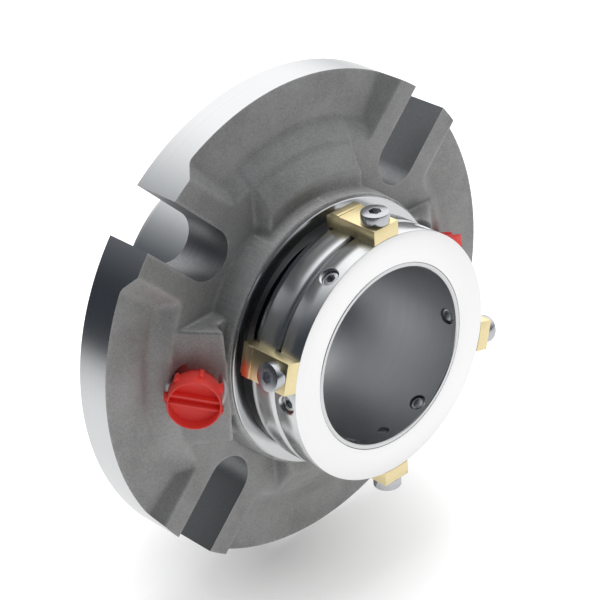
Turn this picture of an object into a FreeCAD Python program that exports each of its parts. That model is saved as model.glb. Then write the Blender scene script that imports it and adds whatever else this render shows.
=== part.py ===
"""Cartridge mechanical seal for a rotating shaft, as delivered with its setting clips.

The seal's axis is Y. The gland's mounting face is the plane Y = 0, the front (outboard) side looks
towards -Y, X is to the right and Z is up. All sizes are in millimetres. Angles run round the axis
from +X towards +Z, so 90 is at the top.
"""

import FreeCAD, Part
import math
import os
import re

import Sketcher

os.makedirs("parts", exist_ok=True)
doc = FreeCAD.newDocument("cartridge_seal")
ORIGIN = FreeCAD.Vector(0, 0, 0)
AXIS = FreeCAD.Vector(0, -1, 0)  # a turn about this vector by a positive angle goes from +X to +Z


# Driving dimensions

SIZES = [
    # alias, value or formula, what it is
    ("shaft_radius", 32.5, "bore of the sleeve"),
    ("sleeve_wall", 1.6, "thickness of the sleeve's tube"),
    ("sleeve_radius", "shaft_radius + sleeve_wall", "outside of the sleeve"),
    ("tail_length", 4.2, "sleeve behind its head"),
    ("tail_wall", 4.1, "wall of the sleeve behind its head"),
    ("fit_gap", 0.05, "radial gap of fitted pieces"),
    ("free_gap", 0.4, "gap of pieces that pass without touching"),
    ("collar_wall", 11.45, "thickness of the clamp ring"),
    ("collar_radius", "sleeve_radius + fit_gap + collar_wall", "outside of the clamp ring"),
    ("collar_length", 22.4, "length of the clamp ring"),
    ("collar_space", 4.2, "clamp ring to lip"),
    ("collar_edge", 0.35, "broken edges of the clamp ring"),
    ("collar_groove", 10.1, "middle of the outer groove behind the front face"),
    ("groove_width", 1.5, "width of the outer groove"),
    ("groove_depth", 2.4, "depth of the outer groove"),
    ("groove_bevel", 0.9, "bevel at the back of the outer groove"),
    ("collar_taper_length", 3.2, "length of the bevel at the back of the clamp ring"),
    ("collar_taper_depth", 0.9, "depth of the bevel at the back of the clamp ring"),
    ("rotor_phase", -0.5, "angle of the clamp ring from the gland's ports"),
    ("grub_radius", 3.0, "grub screws"),
    ("grub_back", 4.6, "grub screws behind the front face"),
    ("grub_mouth", 0.5, "countersink at each grub screw"),
    ("grub_sunk", 1.2, "grub screw below the outside of the clamp ring"),
    ("grub_point", 0.5, "grub screw's point outside the shaft"),
    ("grub_socket", 1.5, "half the width of the grub screw's hexagon"),
    ("clip_width", 11.3, "width of a setting clip"),
    ("clip_height", 3.9, "height of a setting clip above the clamp ring"),
    ("clip_setback", 0.9, "front of a setting clip behind the front face"),
    ("clip_tail", 4.9, "low tail of a setting clip"),
    ("clip_tail_drop", 0.9, "tail below the top of the clip"),
    ("clip_rib", 3.6, "raised rib in front of the tail"),
    ("clip_rib_height", 0.35, "rib above the top of the clip"),
    ("clip_gap", 0.3, "clip to lip"),
    ("clip_slack", 1.0, "clip's foot to the back of the clamp ring"),
    ("clip_foot", "collar_space - clip_gap - clip_slack", "thickness of the clip's foot"),
    ("clip_foot_depth", 2.0, "foot below the outside of the clamp ring"),
    ("clip_notch", 0.8, "height of the notch in front of the clip's foot"),
    ("clip_screw_back", 5.8, "clip screw behind the front face"),
    ("head_radius", 5.0, "clip screw's head"),
    ("head_height", 4.0, "clip screw's head"),
    ("head_socket", 2.0, "half the width of the clip screw's hexagon"),
    ("shank_radius", 3.0, "clip screw's shank"),
    ("shank_length", 8.6, "clip screw's shank under its head"),
    ("socket_depth", 2.4, "depth of the screws' sockets"),
    ("screw_edge", 0.5, "broken edges of the screws"),
    ("key_radius", 2.0, "drive screw between clamp ring and sleeve"),
    ("key_point", 0.8, "drive screw's point outside the shaft"),
    ("snap_ring", 1.2, "thickness of the retaining rings"),
    ("snap_width", 2.4, "radial width of the retaining rings"),
    ("snap_opening", 12.0, "gap between a retaining ring's ends"),
    ("ring_seat", "snap_ring + free_gap", "recess for a retaining ring in the clamp ring's back"),
    ("lip_inset", 1.5, "lip's bore inside the clamp ring's outside"),
    ("lip_bore", "collar_radius - lip_inset", "turned lip, inside"),
    ("lip_wall", 5.1, "thickness of the turned lip"),
    ("lip_radius", "lip_bore + lip_wall", "turned lip, outside"),
    ("lip_edge", 0.3, "broken edge of the lip"),
    ("lip_length", 1.3, "turned outside of the lip"),
    ("lip_step", 1.0, "step from the lip to the cast neck"),
    ("lip_recess", 4.8, "depth of the recess inside the lip"),
    ("neck_spread", 0.7, "how much the neck widens towards its foot"),
    ("neck_radius", "lip_radius + lip_step + neck_spread", "cast neck at its foot"),
    ("rim_thickness", 14.2, "rim of the gland, front edge to mounting face"),
    ("rim_edge", 0.8, "broken edge at the back of the rim"),
    ("land_rise", 1.2, "flat land above the rim's front edge"),
    ("land_height", "rim_thickness + land_rise", "flat land to the mounting face"),
    ("pad_rise", 4.5, "faces of the slot pads above the land"),
    ("pad_height", "land_height + pad_rise", "faces of the slot pads to the mounting face"),
    ("hub_rise", 6.9, "ridge of the hub above the slot pads"),
    ("hub_height", "pad_height + hub_rise", "ridge of the hub to the mounting face"),
    ("lip_rise", 5.5, "lip's face above the ridge of the hub"),
    ("lip_face", "hub_height + lip_rise", "lip's front face to the mounting face"),
    ("collar_back", "lip_face + collar_space", "back of the clamp ring to the mounting face"),
    ("collar_front", "collar_back + collar_length", "front of the clamp ring to the mounting face"),
    ("hub_inset", 7.3, "ridge of the hub outside the lip"),
    ("hub_ridge", "lip_radius + hub_inset", "radius of the hub's ridge"),
    ("hub_run", 16.2, "radial width of the hub's cone"),
    ("hub_foot", "hub_ridge + hub_run", "outer radius of the hub's cone"),
    ("hub_dip", 0.7, "ridge of the hub above the foot of the neck"),
    ("hub_half", 23.3, "half the width of the hub at the height of the pads"),
    ("hub_draft", 14.0, "slope of the hub's sides"),
    ("plateau_radius", "hub_ridge + hub_run * hub_rise / (hub_rise + pad_rise)",
     "outer radius of the level part round the neck"),
    ("land_width", 3.3, "radial width of the flat land"),
    ("land_radius", "hub_foot + land_width", "outer radius of the flat land"),
    ("rim_width", 14.0, "sloping part of the flange outside the land"),
    ("flange_radius", "land_radius + rim_width", "rim of the gland"),
    ("pad_half", 18.1, "half the width of a slot pad"),
    ("pad_draft", 46.0, "slope of a slot pad's sides"),
    ("slot_half", 9.4, "half the width of a bolt slot"),
    ("slot_reach", 15.0, "centre of a bolt slot's end arc outside the lip"),
    ("slot_centre", "lip_radius + slot_reach", "radius of the centre of a bolt slot's end arc"),
    ("port_slope", 45.0, "angle of the ports to the seal's axis"),
    ("port_half", 23.0, "half the width of a port boss at the height of the pads"),
    ("port_draft", 6.0, "slope of a port boss's sides"),
    ("port_lean", 1.5, "slope of a port boss's wall behind its ridge"),
    ("port_down", 8.0, "middle of a port outside the ridge of its boss"),
    ("port_radius", "lip_radius + lip_step + port_down", "radius of a port's middle on its boss"),
    ("port_height", "lip_face - lip_length - port_down * tan(90 - port_slope)",
     "height of a port's middle on its boss"),
    ("port_thread", 8.0, "tapped port"),
    ("port_depth", 12.0, "tapped depth of a port"),
    ("port_drill", 3.0, "drilling from the port to the seal chamber"),
    ("plug_radius", 9.4, "plug's head at its base"),
    ("plug_taper", 0.1, "plug's head, base wider than face"),
    ("plug_height", 7.4, "plug's head"),
    ("plug_stand", 3.4, "plug's head above its boss"),
    ("plug_recess", 4.7, "recess in the plug's face"),
    ("plug_rim", 0.55, "rim round the recess"),
    ("plug_bar", 0.9, "thickness of each bar in the recess"),
    ("plug_bar_drop", 1.85, "bars below the rim"),
    ("plug_slot", 2.2, "slot between the two bars"),
    ("plug_tilt", -14.0, "turn of the plug's slot"),
    ("plug_shank", 10.0, "plug's threaded end under its head"),
    ("lug_height", 4.2, "grip lugs round the plug's head"),
    ("lug_width", 1.6, "grip lugs"),
    ("lug_reach", 1.1, "grip lugs outside the plug's head"),
    ("cord", 2.5, "thickness of the O-rings"),
    ("shoulder_thick", 2.0, "shoulder in front of the throttle bush"),
    ("bush_shoulder", 2.2, "height of that shoulder"),
    ("bush_wall", 4.05, "thickness of the throttle bush"),
    ("bush_bore", "sleeve_radius + free_gap + bush_wall + fit_gap", "gland bore round the bush"),
    ("bush_front", "lip_face - lip_recess - shoulder_thick", "front of the throttle bush"),
    ("bush_length", 12.2, "throttle bush"),
    ("ring_gap", 2.7, "face rings round the sleeve"),
    ("ring_bore", "sleeve_radius + ring_gap", "bore of the two face rings"),
    ("stationary_wall", 10.0, "radial width of the stationary ring"),
    ("stationary_length", 10.6, "stationary ring"),
    ("slide_gap", 0.3, "stationary ring in its bore"),
    ("slide_travel", 1.2, "how far the stationary ring can be pushed back"),
    ("chamber_radius", "ring_bore + stationary_wall + slide_gap", "bore round that ring"),
    ("chamber_floor", 2.0, "floor of that bore behind the mounting face"),
    ("groove_place", 6.2, "stationary ring's O-ring groove behind the floor"),
    ("stationary_groove", "chamber_floor + groove_place", "middle of that groove"),
    ("wave_height", 2.4, "height of the wave spring as fitted"),
    ("wave_sheet", 0.4, "thickness of the wave spring's strip"),
    ("wave_inset", 2.2, "wave spring outside the bore of the face rings"),
    ("wave_width", 3.6, "radial width of the wave spring"),
    ("wave_inner", "ring_bore + wave_inset", "wave spring, inside"),
    ("wave_outer", "wave_inner + wave_width", "wave spring, outside"),
    ("face_plane", "chamber_floor + wave_height + stationary_length", "running faces"),
    ("face_setback", 0.8, "end of that bore in front of the running faces"),
    ("chamber_step", "face_plane - face_setback", "where the bore opens out"),
    ("face_inset", 1.8, "running face outside the bore of its ring"),
    ("face_width", 4.8, "radial width of the running face"),
    ("face_proud", 1.6, "height of the raised running face"),
    ("face_inner", "ring_bore + face_inset", "raised running face, inside"),
    ("face_outer", "face_inner + face_width", "raised running face, outside"),
    ("rotary_wall", 8.4, "radial width of the rotary ring"),
    ("rotary_radius", "ring_bore + rotary_wall", "rotary ring, outside"),
    ("rotary_length", 7.0, "rotary ring"),
    ("head_wall", 2.0, "rim of the sleeve's head round the rotary ring"),
    ("head_lap", 5.0, "depth of the pocket for the rotary ring"),
    ("head_length", 8.7, "sleeve's head behind the rotary ring"),
    ("head_seat", "face_plane + rotary_length + 2 * fit_gap", "floor of that pocket"),
    ("sleeve_end", "head_seat + head_length + tail_length", "inboard end of the sleeve"),
    ("groove_setback", 6.5, "sleeve's O-ring groove behind that floor"),
    ("sleeve_groove", "head_seat + groove_setback", "middle of the sleeve's O-ring groove"),
    ("head_clearance", 1.35, "gland's bore round the sleeve's head"),
    ("chamber_mouth", "rotary_radius + fit_gap + head_wall + head_clearance", "wide end of the bore"),
    ("spigot_wall", 5.9, "thickness of the pilot behind the flange"),
    ("spigot_radius", "chamber_mouth + spigot_wall", "pilot behind the flange"),
    ("spigot_length", 22.0, "pilot behind the flange"),
    ("spigot_edge", 0.5, "bevel at the end of the pilot"),
    ("pin_radius", 1.5, "drive and anti-rotation pins"),
    ("pin_root", 5.0, "anti-rotation pins inside the gland"),
    ("pin_reach", 3.2, "anti-rotation pins inside the stationary ring"),
    ("pin_inset", 2.3, "anti-rotation pins inside the edge of the stationary ring"),
    ("pin_circle", "ring_bore + stationary_wall - pin_inset", "pitch radius of those pins"),
    ("drive_root", 3.5, "rotary ring's drive pins inside the sleeve"),
    ("drive_reach", 2.4, "rotary ring's drive pins inside the ring"),
    ("drive_inset", 3.2, "drive pins outside the bore of the ring"),
    ("drive_circle", "ring_bore + drive_inset", "pitch radius of the drive pins"),
]

sheet = doc.addObject("Spreadsheet::Sheet", "Dims")
for row, (alias, value, meaning) in enumerate(SIZES, 1):
    sheet.setAlias(f"A{row}", alias)
    sheet.set(f"B{row}", meaning)
for row, (alias, value, meaning) in enumerate(SIZES, 1):
    sheet.set(f"A{row}", f"={value}" if isinstance(value, str) else str(value))
doc.recompute()
SIZE = {alias: sheet.get(alias) for alias, value, meaning in SIZES}

SLOT_ANGLES = [45, 135, 225, 315]
PHASE = SIZE["rotor_phase"]
GRUB_ANGLES = [PHASE + angle for angle in (0, 60, 120, 180, 240, 300)]
KEY_ANGLES = [PHASE + angle for angle in (90, 270)]
CLIP_ANGLES = {"top": PHASE + 90, "left": PHASE + 165, "bottom": PHASE + 270, "right": PHASE + 345}
PIN_ANGLES = [90, 270]
WAVES = 5
LUGS = 7
LUG_START = -5.7  # angle of the first lug
PORT_ANGLES = {"right": 0, "left": 180}

nodes = []  # every finished sub-part, in the order in which it is made


# Helpers

def expression(text):
    """An expression on the sheet: every size named in the text is read from its cell."""
    return re.sub(r"[a-z_]+", lambda word: f"Dims.{word[0]}" if word[0] in SIZE else word[0], text)


def bind(item, **values):
    """Bind properties of an object to expressions. A double underscore stands for a dot."""
    for name, text in values.items():
        item.setExpression(name.replace("__", "."), expression(text))
    return item


def finish(item, label):
    """Name a finished sub-part."""
    item.Label = label
    nodes.append(item)
    return item


def new_body(name):
    return doc.addObject("PartDesign::Body", name)


def datum(body, role):
    """One of the body's own origin planes or axes."""
    return next(f for f in body.Origin.OriginFeatures if f.Role == role)


def outline(body, role, name, corners, lift="0"):
    """A closed outline of straight lines on an origin plane. Its corners are pairs of expressions."""
    sketch = body.newObject("Sketcher::SketchObject", name)
    sketch.AttachmentSupport = [(datum(body, role), "")]
    sketch.MapMode = "FlatFace"
    bind(sketch, AttachmentOffset__Base__z=lift)
    count = len(corners)
    turn_by = 2 * math.pi / count
    size = SIZE["collar_radius"]
    start = [FreeCAD.Vector(size * math.cos(turn_by * i), size * math.sin(turn_by * i), 0)
             for i in range(count)]
    for i in range(count):
        sketch.addGeometry(Part.LineSegment(start[i], start[(i + 1) % count]), False)
    for i in range(count):
        sketch.addConstraint(Sketcher.Constraint("Coincident", i, 2, (i + 1) % count, 1))
    for i, (across, along) in enumerate(corners):
        for kind, text, value in (("DistanceX", across, start[i].x), ("DistanceY", along, start[i].y)):
            index = sketch.addConstraint(Sketcher.Constraint(kind, -1, 1, i, 1, value))
            sketch.setExpression(f"Constraints[{index}]", expression(text))
    return sketch


def turn(body, name, corners, kind="PartDesign::Revolution"):
    """A solid of revolution about Y, or a cut of that form. Its corners are (radius, Y) pairs."""
    doc.recompute()
    feature = body.newObject(kind, name)
    feature.Profile = outline(body, "XY_Plane", name + "_outline", corners)
    feature.ReferenceAxis = (datum(body, "Y_Axis"), [""])
    feature.Angle = 360
    return feature


def turned(name, corners):
    """A body that is one solid of revolution about Y."""
    body = new_body(name + "_body")
    turn(body, name, corners)
    return body


def pad(body, name, role, corners, length, lift="0", draft=None, symmetric=False):
    """An outline on an origin plane made thick, with sloped sides where a draft is given."""
    feature = body.newObject("PartDesign::Pad", name)
    feature.Profile = outline(body, role, name + "_outline", corners, lift)
    bind(feature, Length=length)
    if symmetric:
        feature.SideType = "Symmetric"
    if draft:
        bind(feature, TaperAngle=f"-1 * {draft}")
    return feature


def bar(name, radius, start, end):
    """A cylinder along Y between two values of Y."""
    item = doc.addObject("Part::Cylinder", name)
    item.Placement = FreeCAD.Placement(ORIGIN, FreeCAD.Rotation(FreeCAD.Vector(1, 0, 0), -90))
    return bind(item, Radius=radius, Height=f"{end} - ({start})", Placement__Base__y=start)


def o_ring(label, radius, position):
    """An O-ring round Y. Its radius is to the middle of the cord."""
    ring = doc.addObject("Part::Torus", label + "_torus")
    ring.Placement = FreeCAD.Placement(ORIGIN, FreeCAD.Rotation(FreeCAD.Vector(1, 0, 0), 90))
    bind(ring, Radius1=radius, Radius2="cord / 2", Placement__Base__y=position)
    return finish(ring, label)


def direction(angle):
    """The unit vector away from the axis at an angle."""
    return FreeCAD.Vector(math.cos(math.radians(angle)), 0, math.sin(math.radians(angle)))


def place(item, name, radius, position, angle, rotation):
    """A copy of a shape, moved out from the axis at an angle and turned."""
    away = direction(angle)
    copy = doc.addObject("Part::Compound", name)
    copy.Links = [item]
    copy.Placement = FreeCAD.Placement(ORIGIN, rotation)
    return bind(copy, Placement__Base__x=f"({radius}) * {away.x:.9f}", Placement__Base__y=position,
                Placement__Base__z=f"({radius}) * {away.z:.9f}")


def stand_out(item, name, radius, position, angle):
    """A copy of a piece made along Y whose front (-Y) now points away from the axis."""
    return place(item, name, radius, position, angle, FreeCAD.Rotation(AXIS, direction(angle)))


def turn_round(item, name, angle):
    """A copy of a shape, turned about the seal's axis."""
    return place(item, name, "0", "0", 0, FreeCAD.Rotation(AXIS, angle))


def gather(kind, name, shapes):
    """A MultiFuse, MultiCommon or Compound of shapes."""
    item = doc.addObject(kind, name)
    if kind == "Part::Compound":
        item.Links = shapes
    else:
        item.Shapes = shapes
    return item


def fuse(name, shapes):
    return gather("Part::MultiFuse", name, shapes)


def cut(name, base, tool):
    item = doc.addObject("Part::Cut", name)
    item.Base = base
    item.Tool = tool
    return item


def hexagon(name, half_width, start, end):
    """A hexagonal bar along Y, for the socket of a screw."""
    item = doc.addObject("Part::Prism", name)
    item.Polygon = 6
    item.Placement = FreeCAD.Placement(ORIGIN, FreeCAD.Rotation(FreeCAD.Vector(1, 0, 0), -90))
    return bind(item, Circumradius=f"{half_width} / cos(30)", Height=f"{end} - ({start})",
                Placement__Base__y=start)


# Gland: the forms of the casting

def gland_blank():
    """Flange, neck, lip and pilot as one turned form without its bores."""
    groove = "chamber_mouth + spigot_wall / 2"
    return turned("gland_blank", [
        ("0", "-lip_face"),
        ("lip_radius - lip_edge", "-lip_face"),
        ("lip_radius", "lip_edge - lip_face"),
        ("lip_radius", "lip_length - lip_face"),
        ("lip_radius + lip_step", "lip_length - lip_face"),
        ("neck_radius", "-pad_height"),
        ("plateau_radius", "-pad_height"),
        ("hub_foot", "-land_height"),
        ("land_radius", "-land_height"),
        ("flange_radius", "-rim_thickness"),
        ("flange_radius", "-rim_edge"),
        ("flange_radius - rim_edge", "0"),
        ("spigot_radius", "0"),
        ("spigot_radius", "spigot_length - spigot_edge"),
        ("spigot_radius - spigot_edge", "spigot_length"),
        (f"{groove} + 0.64 * cord", "spigot_length"),
        (f"{groove} + 0.64 * cord", "spigot_length - 0.8 * cord"),
        (f"{groove} - 0.64 * cord", "spigot_length - 0.8 * cord"),
        (f"{groove} - 0.64 * cord", "spigot_length"),
        ("0", "spigot_length"),
    ])


def band(name, half_width, draft, height, angle):
    """A straight band with sloped sides across the gland. Its half width is taken at the pads."""
    root = "rim_thickness / 2"
    half = f"({half_width} + (pad_height - {root}) * tan({draft}))"
    reach = "1.3 * flange_radius"
    body = new_body(name + "_body")
    pad(body, name, "XZ_Plane", [(f"-{reach}", f"-{half}"), (reach, f"-{half}"), (reach, half),
                                 (f"-{reach}", half)], f"{height} - {root}", root, draft)
    body.Placement = FreeCAD.Placement(ORIGIN, FreeCAD.Rotation(AXIS, angle))
    return body


def slot_pads():
    """The four raised pads with sloped sides, one round each bolt slot, cut off at the rim."""
    bands = [band(f"pad_band_{angle}", "pad_half", "pad_draft", "pad_height", angle)
             for angle in SLOT_ANGLES[:2]]
    limit = bar("rim_limit", "flange_radius", "-pad_height", "0")
    return gather("Part::MultiCommon", "slot_pads", [fuse("pad_cross", bands), limit])


def hub_sectors():
    """The cone between the slots at the top and the bottom, with a shallow channel at the neck."""
    cone = turned("hub_cone", [
        ("0", "-rim_thickness / 2"),
        ("0", "hub_dip - hub_height"),
        ("neck_radius", "hub_dip - hub_height"),
        ("hub_ridge", "-hub_height"),
        ("hub_foot", "-land_height"),
        ("hub_foot", "-rim_thickness / 2"),
    ])
    across = band("hub_band", "hub_half", "hub_draft", "hub_height", 90)
    return gather("Part::MultiCommon", "hub_sectors", [cone, across])


def port_bosses():
    """The two bosses between the slots at the sides, each with a flat face square to its port."""
    top = "(lip_face - lip_length)"
    root = "rim_thickness / 2"
    floor = "(hub_height - hub_dip)"
    ridge = "(lip_radius + lip_step)"
    low = f"({ridge} + ({top} - {root}) / tan(90 - port_slope))"
    right = [(f"{ridge} - port_lean", f"-{floor}"), (ridge, f"-{top}"), (low, f"-{root}")]
    left = [(f"-({across})", height) for across, height in reversed(right)]
    body = new_body("port_prism_body")
    pad(body, "port_prism", "XY_Plane", right + left, "flange_radius", symmetric=True)
    across = band("port_band", "port_half", "port_draft", top, 0)
    return gather("Part::MultiCommon", "port_bosses", [body, across])


# Gland: what is cut out of the casting

def gland_bores():
    """The stepped bore of the gland, from the recess inside the lip to the seal chamber."""
    past = "spigot_length + 1"
    before = "-lip_face - 1"
    bush_end = "bush_length - bush_front"
    return turned("gland_bores", [
        ("0", before),
        ("lip_bore + 1.4", before),
        ("lip_bore", "0.4 - lip_face"),
        ("lip_bore", "lip_recess - lip_face"),
        ("bush_bore - bush_shoulder", "lip_recess - lip_face"),
        ("bush_bore - bush_shoulder", "-bush_front"),
        ("bush_bore", "-bush_front"),
        ("bush_bore", f"{bush_end} + fit_gap"),
        ("bush_bore + snap_ring", f"{bush_end} + fit_gap"),
        ("bush_bore + snap_ring", f"{bush_end} + snap_ring + 3 * fit_gap"),
        ("bush_bore", f"{bush_end} + snap_ring + 3 * fit_gap"),
        ("bush_bore", "chamber_floor"),
        ("chamber_radius", "chamber_floor"),
        ("chamber_radius", "stationary_groove - 0.7 * cord"),
        ("chamber_radius + 0.95 * cord", "stationary_groove - 0.7 * cord"),
        ("chamber_radius + 0.95 * cord", "stationary_groove + 0.7 * cord"),
        ("chamber_radius", "stationary_groove + 0.7 * cord"),
        ("chamber_radius", "chamber_step"),
        ("chamber_mouth", "chamber_step"),
        ("chamber_mouth", past),
        ("0", past),
    ])


def slot_cutter(name, angle):
    """One open slot with a round inner end, through pad and flange."""
    front, back = "-lip_face", "1"
    end_arc = bar(name + "_arc", "slot_half", front, back)
    sides = doc.addObject("Part::Box", name + "_sides")
    bind(sides, Length="flange_radius", Width=f"{back} - ({front})", Height="2 * slot_half",
         Placement__Base__y=front, Placement__Base__z="-slot_half")
    return place(fuse(name + "_form", [end_arc, sides]), name, "slot_centre", "0", angle,
                 FreeCAD.Rotation(AXIS, angle))


def at_port(item, name, side):
    """A copy of a piece made along Y, set on the boss of one port with its front outwards."""
    tilted = doc.addObject("Part::Compound", name + "_tilted")
    tilted.Links = [item]
    tilted.Placement = FreeCAD.Placement(ORIGIN, FreeCAD.Rotation(FreeCAD.Vector(0, 0, 1), 1))
    bind(tilted, Placement__Rotation__Angle="port_slope", Placement__Base__x="port_radius",
         Placement__Base__y="-port_height")
    return turn_round(tilted, name, PORT_ANGLES[side])


def port_cutter():
    """The spot face, the tapped port and the drilling to the seal chamber, along Y."""
    reach = "(port_radius - bush_bore) / sin(port_slope) + port_drill"
    return fuse("port_cutter", [
        bar("port_spot_face", "plug_radius + lug_reach + 3 * fit_gap",
            "-plug_stand - plug_height", "0"),
        bar("port_tapping", "port_thread", "-1", "port_depth"),
        bar("port_drilling", "port_drill", "0", reach),
    ])


def pin_bar(name, gap, start, end, circle, angle):
    """A pin, or with a gap its hole, along Y on a pitch circle."""
    pin = bar(name + "_straight", f"pin_radius + {gap}", start, end)
    return place(pin, name, circle, "0", angle, FreeCAD.Rotation())


def gland_plate():
    casting = fuse("casting", [gland_blank(), slot_pads(), hub_sectors(), port_bosses()])
    cutters = [gland_bores()]
    cutters += [slot_cutter(f"slot_{angle}", angle) for angle in SLOT_ANGLES]
    port = port_cutter()
    cutters += [at_port(port, f"port_{side}", side) for side in PORT_ANGLES]
    cutters += [pin_bar(f"pin_hole_{angle}", "0", "chamber_floor - pin_root",
                        "chamber_floor + 1", "pin_circle", angle) for angle in PIN_ANGLES]
    return finish(cut("gland", casting, gather("Part::Compound", "gland_cutters", cutters)),
                  "gland_plate")


# Rotor: sleeve, clamp ring and what holds them together

RING_FRONT = "-collar_back - ring_seat + fit_gap"
GRUB_PLANE = "grub_back - collar_front"
CLIP_PLANE = "clip_screw_back - collar_front"
HOLE_END = "collar_radius - shank_length + clip_height - 0.5"


def radial_bar(name, radius, inner, outer):
    """A cylinder along Y, ready to stand out from the axis between two radii."""
    return bar(name, radius, f"-({outer})", f"-({inner})")


def grub_hole():
    return turned("grub_hole", [
        ("0", "-collar_radius - 1"),
        ("grub_radius + fit_gap + grub_mouth + 1", "-collar_radius - 1"),
        ("grub_radius + fit_gap", "grub_mouth - collar_radius"),
        ("grub_radius + fit_gap", "2 - shaft_radius"),
        ("0", "2 - shaft_radius"),
    ])


def rotor_holes(grub, key):
    """The holes that run through both the clamp ring and the sleeve."""
    holes = [stand_out(grub, f"grub_hole_at_{i}", "0", GRUB_PLANE, angle)
             for i, angle in enumerate(GRUB_ANGLES)]
    return holes + [stand_out(key, f"key_hole_at_{i}", "0", CLIP_PLANE, angle)
                    for i, angle in enumerate(KEY_ANGLES)]


def shaft_sleeve(holes):
    """The tube on the shaft, with the head at its inboard end that carries the rotary ring."""
    pocket = "rotary_radius + fit_gap"
    rim = "rotary_radius + fit_gap + head_wall"
    head_back = "head_seat + head_length"
    tube = turned("sleeve_form", [
        ("shaft_radius", "0.3 - collar_front"),
        ("shaft_radius + 0.3", "-collar_front"),
        ("sleeve_radius - 0.2", "-collar_front"),
        ("sleeve_radius", "0.2 - collar_front"),
        ("sleeve_radius", f"{RING_FRONT} - fit_gap"),
        ("sleeve_radius - sleeve_wall / 2", f"{RING_FRONT} - fit_gap"),
        ("sleeve_radius - sleeve_wall / 2", f"{RING_FRONT} + snap_ring + fit_gap"),
        ("sleeve_radius", f"{RING_FRONT} + snap_ring + fit_gap"),
        ("sleeve_radius", "head_seat"),
        (pocket, "head_seat"),
        (pocket, "head_seat - head_lap"),
        (rim, "head_seat - head_lap"),
        (rim, f"{head_back} - 1"),
        (f"{rim} - 1", head_back),
        ("shaft_radius + tail_wall", head_back),
        ("shaft_radius + tail_wall", "sleeve_end - 0.4"),
        ("shaft_radius + tail_wall - 0.4", "sleeve_end"),
        ("shaft_radius + 0.4", "sleeve_end"),
        ("shaft_radius", "sleeve_end - 0.4"),
        ("shaft_radius", "sleeve_groove + 0.7 * cord"),
        ("shaft_radius + cord + 2 * fit_gap", "sleeve_groove + 0.7 * cord"),
        ("shaft_radius + cord + 2 * fit_gap", "sleeve_groove - 0.7 * cord"),
        ("shaft_radius", "sleeve_groove - 0.7 * cord"),
    ])
    pins = [pin_bar(f"sleeve_pin_hole_{angle}", "0", "head_seat", "head_seat + drive_root",
                    "drive_circle", angle) for angle in PIN_ANGLES]
    cutters = gather("Part::Compound", "sleeve_cutters", holes + pins)
    return finish(cut("sleeve", tube, cutters), "shaft_sleeve")


def clamp_ring(holes):
    """The clamp ring: a groove round it, a bevelled back and six tapped holes."""
    bore = "sleeve_radius + fit_gap"
    groove_front = "collar_groove - groove_width / 2 - collar_front"
    groove_back = "collar_groove + groove_width / 2 - collar_front"
    form = turned("collar_form", [
        (bore, "collar_edge - collar_front"),
        (f"{bore} + collar_edge", "-collar_front"),
        ("collar_radius - collar_edge", "-collar_front"),
        ("collar_radius", "collar_edge - collar_front"),
        ("collar_radius", groove_front),
        ("collar_radius - groove_depth", groove_front),
        ("collar_radius - groove_depth", groove_back),
        ("collar_radius - groove_bevel", groove_back),
        ("collar_radius", f"{groove_back} + groove_bevel"),
        ("collar_radius", "-collar_back - collar_taper_length"),
        ("collar_radius - collar_taper_depth", "-collar_back"),
        (f"{bore} + snap_width", "-collar_back"),
        (f"{bore} + snap_width", "-collar_back - ring_seat"),
        (bore, "-collar_back - ring_seat"),
    ])
    clip_hole = radial_bar("clip_hole", "shank_radius + fit_gap", HOLE_END, "collar_radius + 2")
    tapped = [stand_out(clip_hole, f"clip_hole_{side}", "0", CLIP_PLANE, angle)
              for side, angle in CLIP_ANGLES.items()]
    cutters = gather("Part::Compound", "collar_cutters", holes + tapped)
    return finish(cut("collar", form, cutters), "clamp_ring")


def open_ring(label, inner, outer, start):
    """A flat retaining ring with a gap between its ends."""
    whole = turned(label + "_whole", [(inner, start), (outer, start), (outer, f"{start} + snap_ring"),
                                      (inner, f"{start} + snap_ring")])
    gap = doc.addObject("Part::Box", label + "_gap")
    bind(gap, Length="2 * collar_radius", Width="3 * snap_ring", Height="snap_opening",
         Placement__Base__y=f"{start} - snap_ring", Placement__Base__z="-snap_opening / 2")
    return finish(cut(label + "_cut", whole, gap), label)


def grub_screw():
    """A socket set screw with a cup point, its point towards the shaft."""
    outer = "grub_sunk - collar_radius"
    point = "-shaft_radius - grub_point"
    form = turned("grub_form", [
        ("0", outer),
        ("grub_radius - screw_edge", outer),
        ("grub_radius", f"{outer} + screw_edge"),
        ("grub_radius", f"{point} - 2 * screw_edge"),
        ("grub_radius - 2 * screw_edge", point),
        ("grub_radius - 2.5 * screw_edge", point),
        ("0", f"{point} - 2 * screw_edge"),
    ])
    socket = hexagon("grub_socket_form", "grub_socket", f"{outer} - 1", f"{outer} + socket_depth")
    return cut("grub_screw", form, socket)


def drive_screw():
    """A small dog-point screw that keys the clamp ring to the sleeve, under a clip screw."""
    outer = f"-({HOLE_END}) + 0.4"
    form = turned("key_form", [
        ("0", outer),
        ("key_radius", outer),
        ("key_radius", "-shaft_radius - key_point - screw_edge"),
        ("key_radius - screw_edge", "-shaft_radius - key_point"),
        ("0", "-shaft_radius - key_point"),
    ])
    socket = hexagon("key_socket", "key_radius / 2", f"{outer} - 1", f"{outer} + socket_depth / 2")
    return cut("drive_screw", form, socket)


# Setting clips, with the top one as the pattern for all four

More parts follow.
